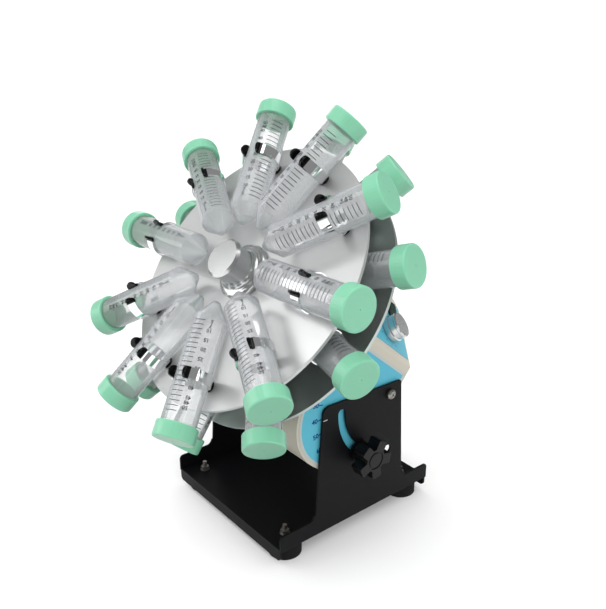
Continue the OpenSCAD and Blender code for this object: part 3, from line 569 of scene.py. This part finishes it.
def add_tilt_scale():
    """Ticks and numbers every ten degrees on the right film, read against the plate's front edge."""
    x = HEAD_HALF_WIDTH + SCALE_LIFT
    far, near = -SCALE_R - SCALE_TICK_L / 2, -SCALE_R + SCALE_TICK_L / 2
    half = SCALE_TICK_T / 2
    tick = [(0, far, -half), (0, near, -half), (0, near, half), (0, far, half)]
    parts = []
    for value in range(0, 91, 10):
        here = Matrix.Translation((x, 0, 0)) @ Matrix.Rotation(math.radians(value), 4, "X")
        parts.append((tick, [(0, 1, 2, 3)], here))
        shape, faces = glyphs(str(value), SCALE_NUMBER_SIZE, SCALE_NUMBER_BOLD)
        flat = [(0, -SCALE_R - SCALE_NUMBER_GAP + right, up) for right, up, _ in shape]
        parts.append((flat, faces, here))
    verts, faces = join(parts)
    add_mesh("tilt_scale", verts, faces, MATERIALS["ink"], "head", HEAD, "blue_film")


def add_index_mark():
    """White mark on the front edge of the right plate, level with the pivot."""
    x = STAND_X + INDEX_LIFT
    y0, y1 = INDEX_Y, INDEX_Y + INDEX_L
    z0, z1 = PIVOT.z - INDEX_T / 2, PIVOT.z + INDEX_T / 2
    verts = [(x, y0, z0), (x, y1, z0), (x, y1, z1), (x, y0, z1)]
    add_mesh("index_mark", verts, [(0, 1, 2, 3)], MATERIALS["white"], "stand")


def add_speed_dial():
    """Dial marks round the speed knob on the shoulder film."""
    here = SHOULDER @ Matrix.Translation((-DIAL_UP, -DIAL_AHEAD, 0))
    low, high, z = -DIAL_HALF_LINE, DIAL_HALF_LINE, PRINT_LIFT
    mark = [(DIAL_IN, low, z), (DIAL_OUT, low, z), (DIAL_OUT, high, z), (DIAL_IN, high, z)]
    parts = []
    for i in range(DIAL_MARKS):
        turn = Matrix.Rotation(math.radians(DIAL_FROM - DIAL_STEP * i), 4, "Z")
        parts.append((mark, [(0, 1, 2, 3)], turn))
    verts, faces = join(parts)
    add_mesh("speed_dial", verts, faces, MATERIALS["ink"], "head", here, "blue_film")


# Stage
def sheet(half_x, half_y):
    """Corners and face of a flat sheet about the origin."""
    corners = [(-half_x, -half_y, 0), (half_x, -half_y, 0), (half_x, half_y, 0), (-half_x, half_y, 0)]
    return corners, [(0, 1, 2, 3)]


def stage_mesh(name, verts, faces, material):
    """A piece of the studio, which is no part of the object."""
    mesh = bpy.data.meshes.new(name)
    mesh.from_pydata(verts, [], faces)
    mesh.materials.append(material)
    piece = bpy.data.objects.new(name, mesh)
    bpy.context.scene.collection.objects.link(piece)
    return piece


def only_reflected(piece):
    """Keep a piece of the stage for gloss and metal to mirror."""
    piece.visible_camera = False
    piece.visible_shadow = False
    piece.visible_diffuse = False
    piece.visible_transmission = False


def set_facing(thing, spot, way):
    """Place a light or a card with its Z axis along a direction."""
    thing.location = spot
    thing.rotation_mode = "QUATERNION"
    thing.rotation_quaternion = way.to_track_quat("Z", "Y")


def add_light(name, spot, size, power):
    """A soft light that metal and gloss don't mirror."""
    data = bpy.data.lights.new(name, "AREA")
    data.size = size
    data.energy = power
    light = bpy.data.objects.new(name, data)
    set_facing(light, spot, Vector(spot) - LIGHT_AIM)
    light.visible_glossy = False
    bpy.context.scene.collection.objects.link(light)


def add_sky():
    """Even white light that is weaker from below."""
    world = bpy.data.worlds.new("studio")
    world.use_nodes = True
    tree = world.node_tree
    sky = tree.nodes["Background"]
    sky.inputs["Color"].default_value = (1, 1, 1, 1)
    coords = tree.nodes.new("ShaderNodeTexCoord")
    split = tree.nodes.new("ShaderNodeSeparateXYZ")
    fade = tree.nodes.new("ShaderNodeMapRange")
    fade.inputs["From Min"].default_value = FADE_LOW
    fade.inputs["From Max"].default_value = FADE_HIGH
    fade.inputs["To Min"].default_value = UNDER_LIGHT
    fade.inputs["To Max"].default_value = SKY_LIGHT
    tree.links.new(coords.outputs["Generated"], split.inputs["Vector"])
    tree.links.new(split.outputs["Z"], fade.inputs["Value"])
    tree.links.new(fade.outputs["Result"], sky.inputs["Strength"])
    bpy.context.scene.world = world


def glow(name, bright, **sockets):
    """A black material that shines white."""
    return shader(name, (0, 0, 0), 1.0, Emission_Color=(1, 1, 1, 1), Emission_Strength=bright, **sockets)


def add_room():
    """Grey room with soft boxes and one dark card, seen only in reflections."""
    arc = [math.pi * i / ROOM_RINGS for i in range(1, ROOM_RINGS)]
    verts, faces = lathe([(math.sin(a) * ROOM_R, -math.cos(a) * ROOM_R) for a in arc], ROOM_SIDES)
    only_reflected(stage_mesh("room", verts, faces, glow("room", ROOM_LIGHT, Specular_IOR_Level=0.0)))
    for i, (way, wide, high, bright) in enumerate(SOFT_BOXES):
        name = f"soft_box_{i}"
        box = stage_mesh(name, *sheet(wide / 2, high / 2), glow(name, bright))
        spot = Vector(way).normalized() * (BOX_AWAY - BOX_STEP * i)
        set_facing(box, spot, -spot)
        only_reflected(box)


def add_stage():
    """White floor, sky, lights and reflected room; light from below comes from the sky, not the floor."""
    pale = shader("floor", (0.92, 0.92, 0.92), 0.7, Specular_IOR_Level=0.0)
    floor = stage_mesh("floor", *sheet(FLOOR_HALF, FLOOR_HALF), pale)
    floor.visible_diffuse = False
    add_sky()
    for name, spot, size, power in LIGHTS:
        add_light(name, spot, size, power)
    add_room()


add_camera()
MATERIALS = make_materials()
# The caps get a new shape with a grip, and every other node keeps its own
for node in frame["nodes"]:
    if node not in ("front_caps", "rear_caps"):
        look = NODE_LOOK.get(node, SLOT_LOOK[SLOTS[node]])
        dress(node, MATERIALS[look], BEVELS.get(node, 0.0))
add_caps("front_caps_look", FRONT_DISC_FRONT, FRONT_PHASE, "front_caps")
add_caps("rear_caps_look", REAR_DISC_FRONT, REAR_PHASE, "rear_caps")
add_gloss("front_gloss", FRONT_DISC_FRONT, FRONT_PHASE)
add_gloss("rear_gloss", REAR_DISC_FRONT, REAR_PHASE)
add_prints("front_print", FRONT_DISC_FRONT, FRONT_PHASE, FRONT_TURNS)
add_prints("rear_print", REAR_DISC_FRONT, REAR_PHASE, REAR_TURNS)
add_side_print("right_print", 1)
add_side_print("left_print", -1)
add_tilt_scale()
add_index_mark()
add_speed_dial()
add_stage()
bpy.context.scene.view_settings.view_transform = "Standard"
bpy.context.scene.cycles.transparent_max_bounces = CLEAR_LAYERS
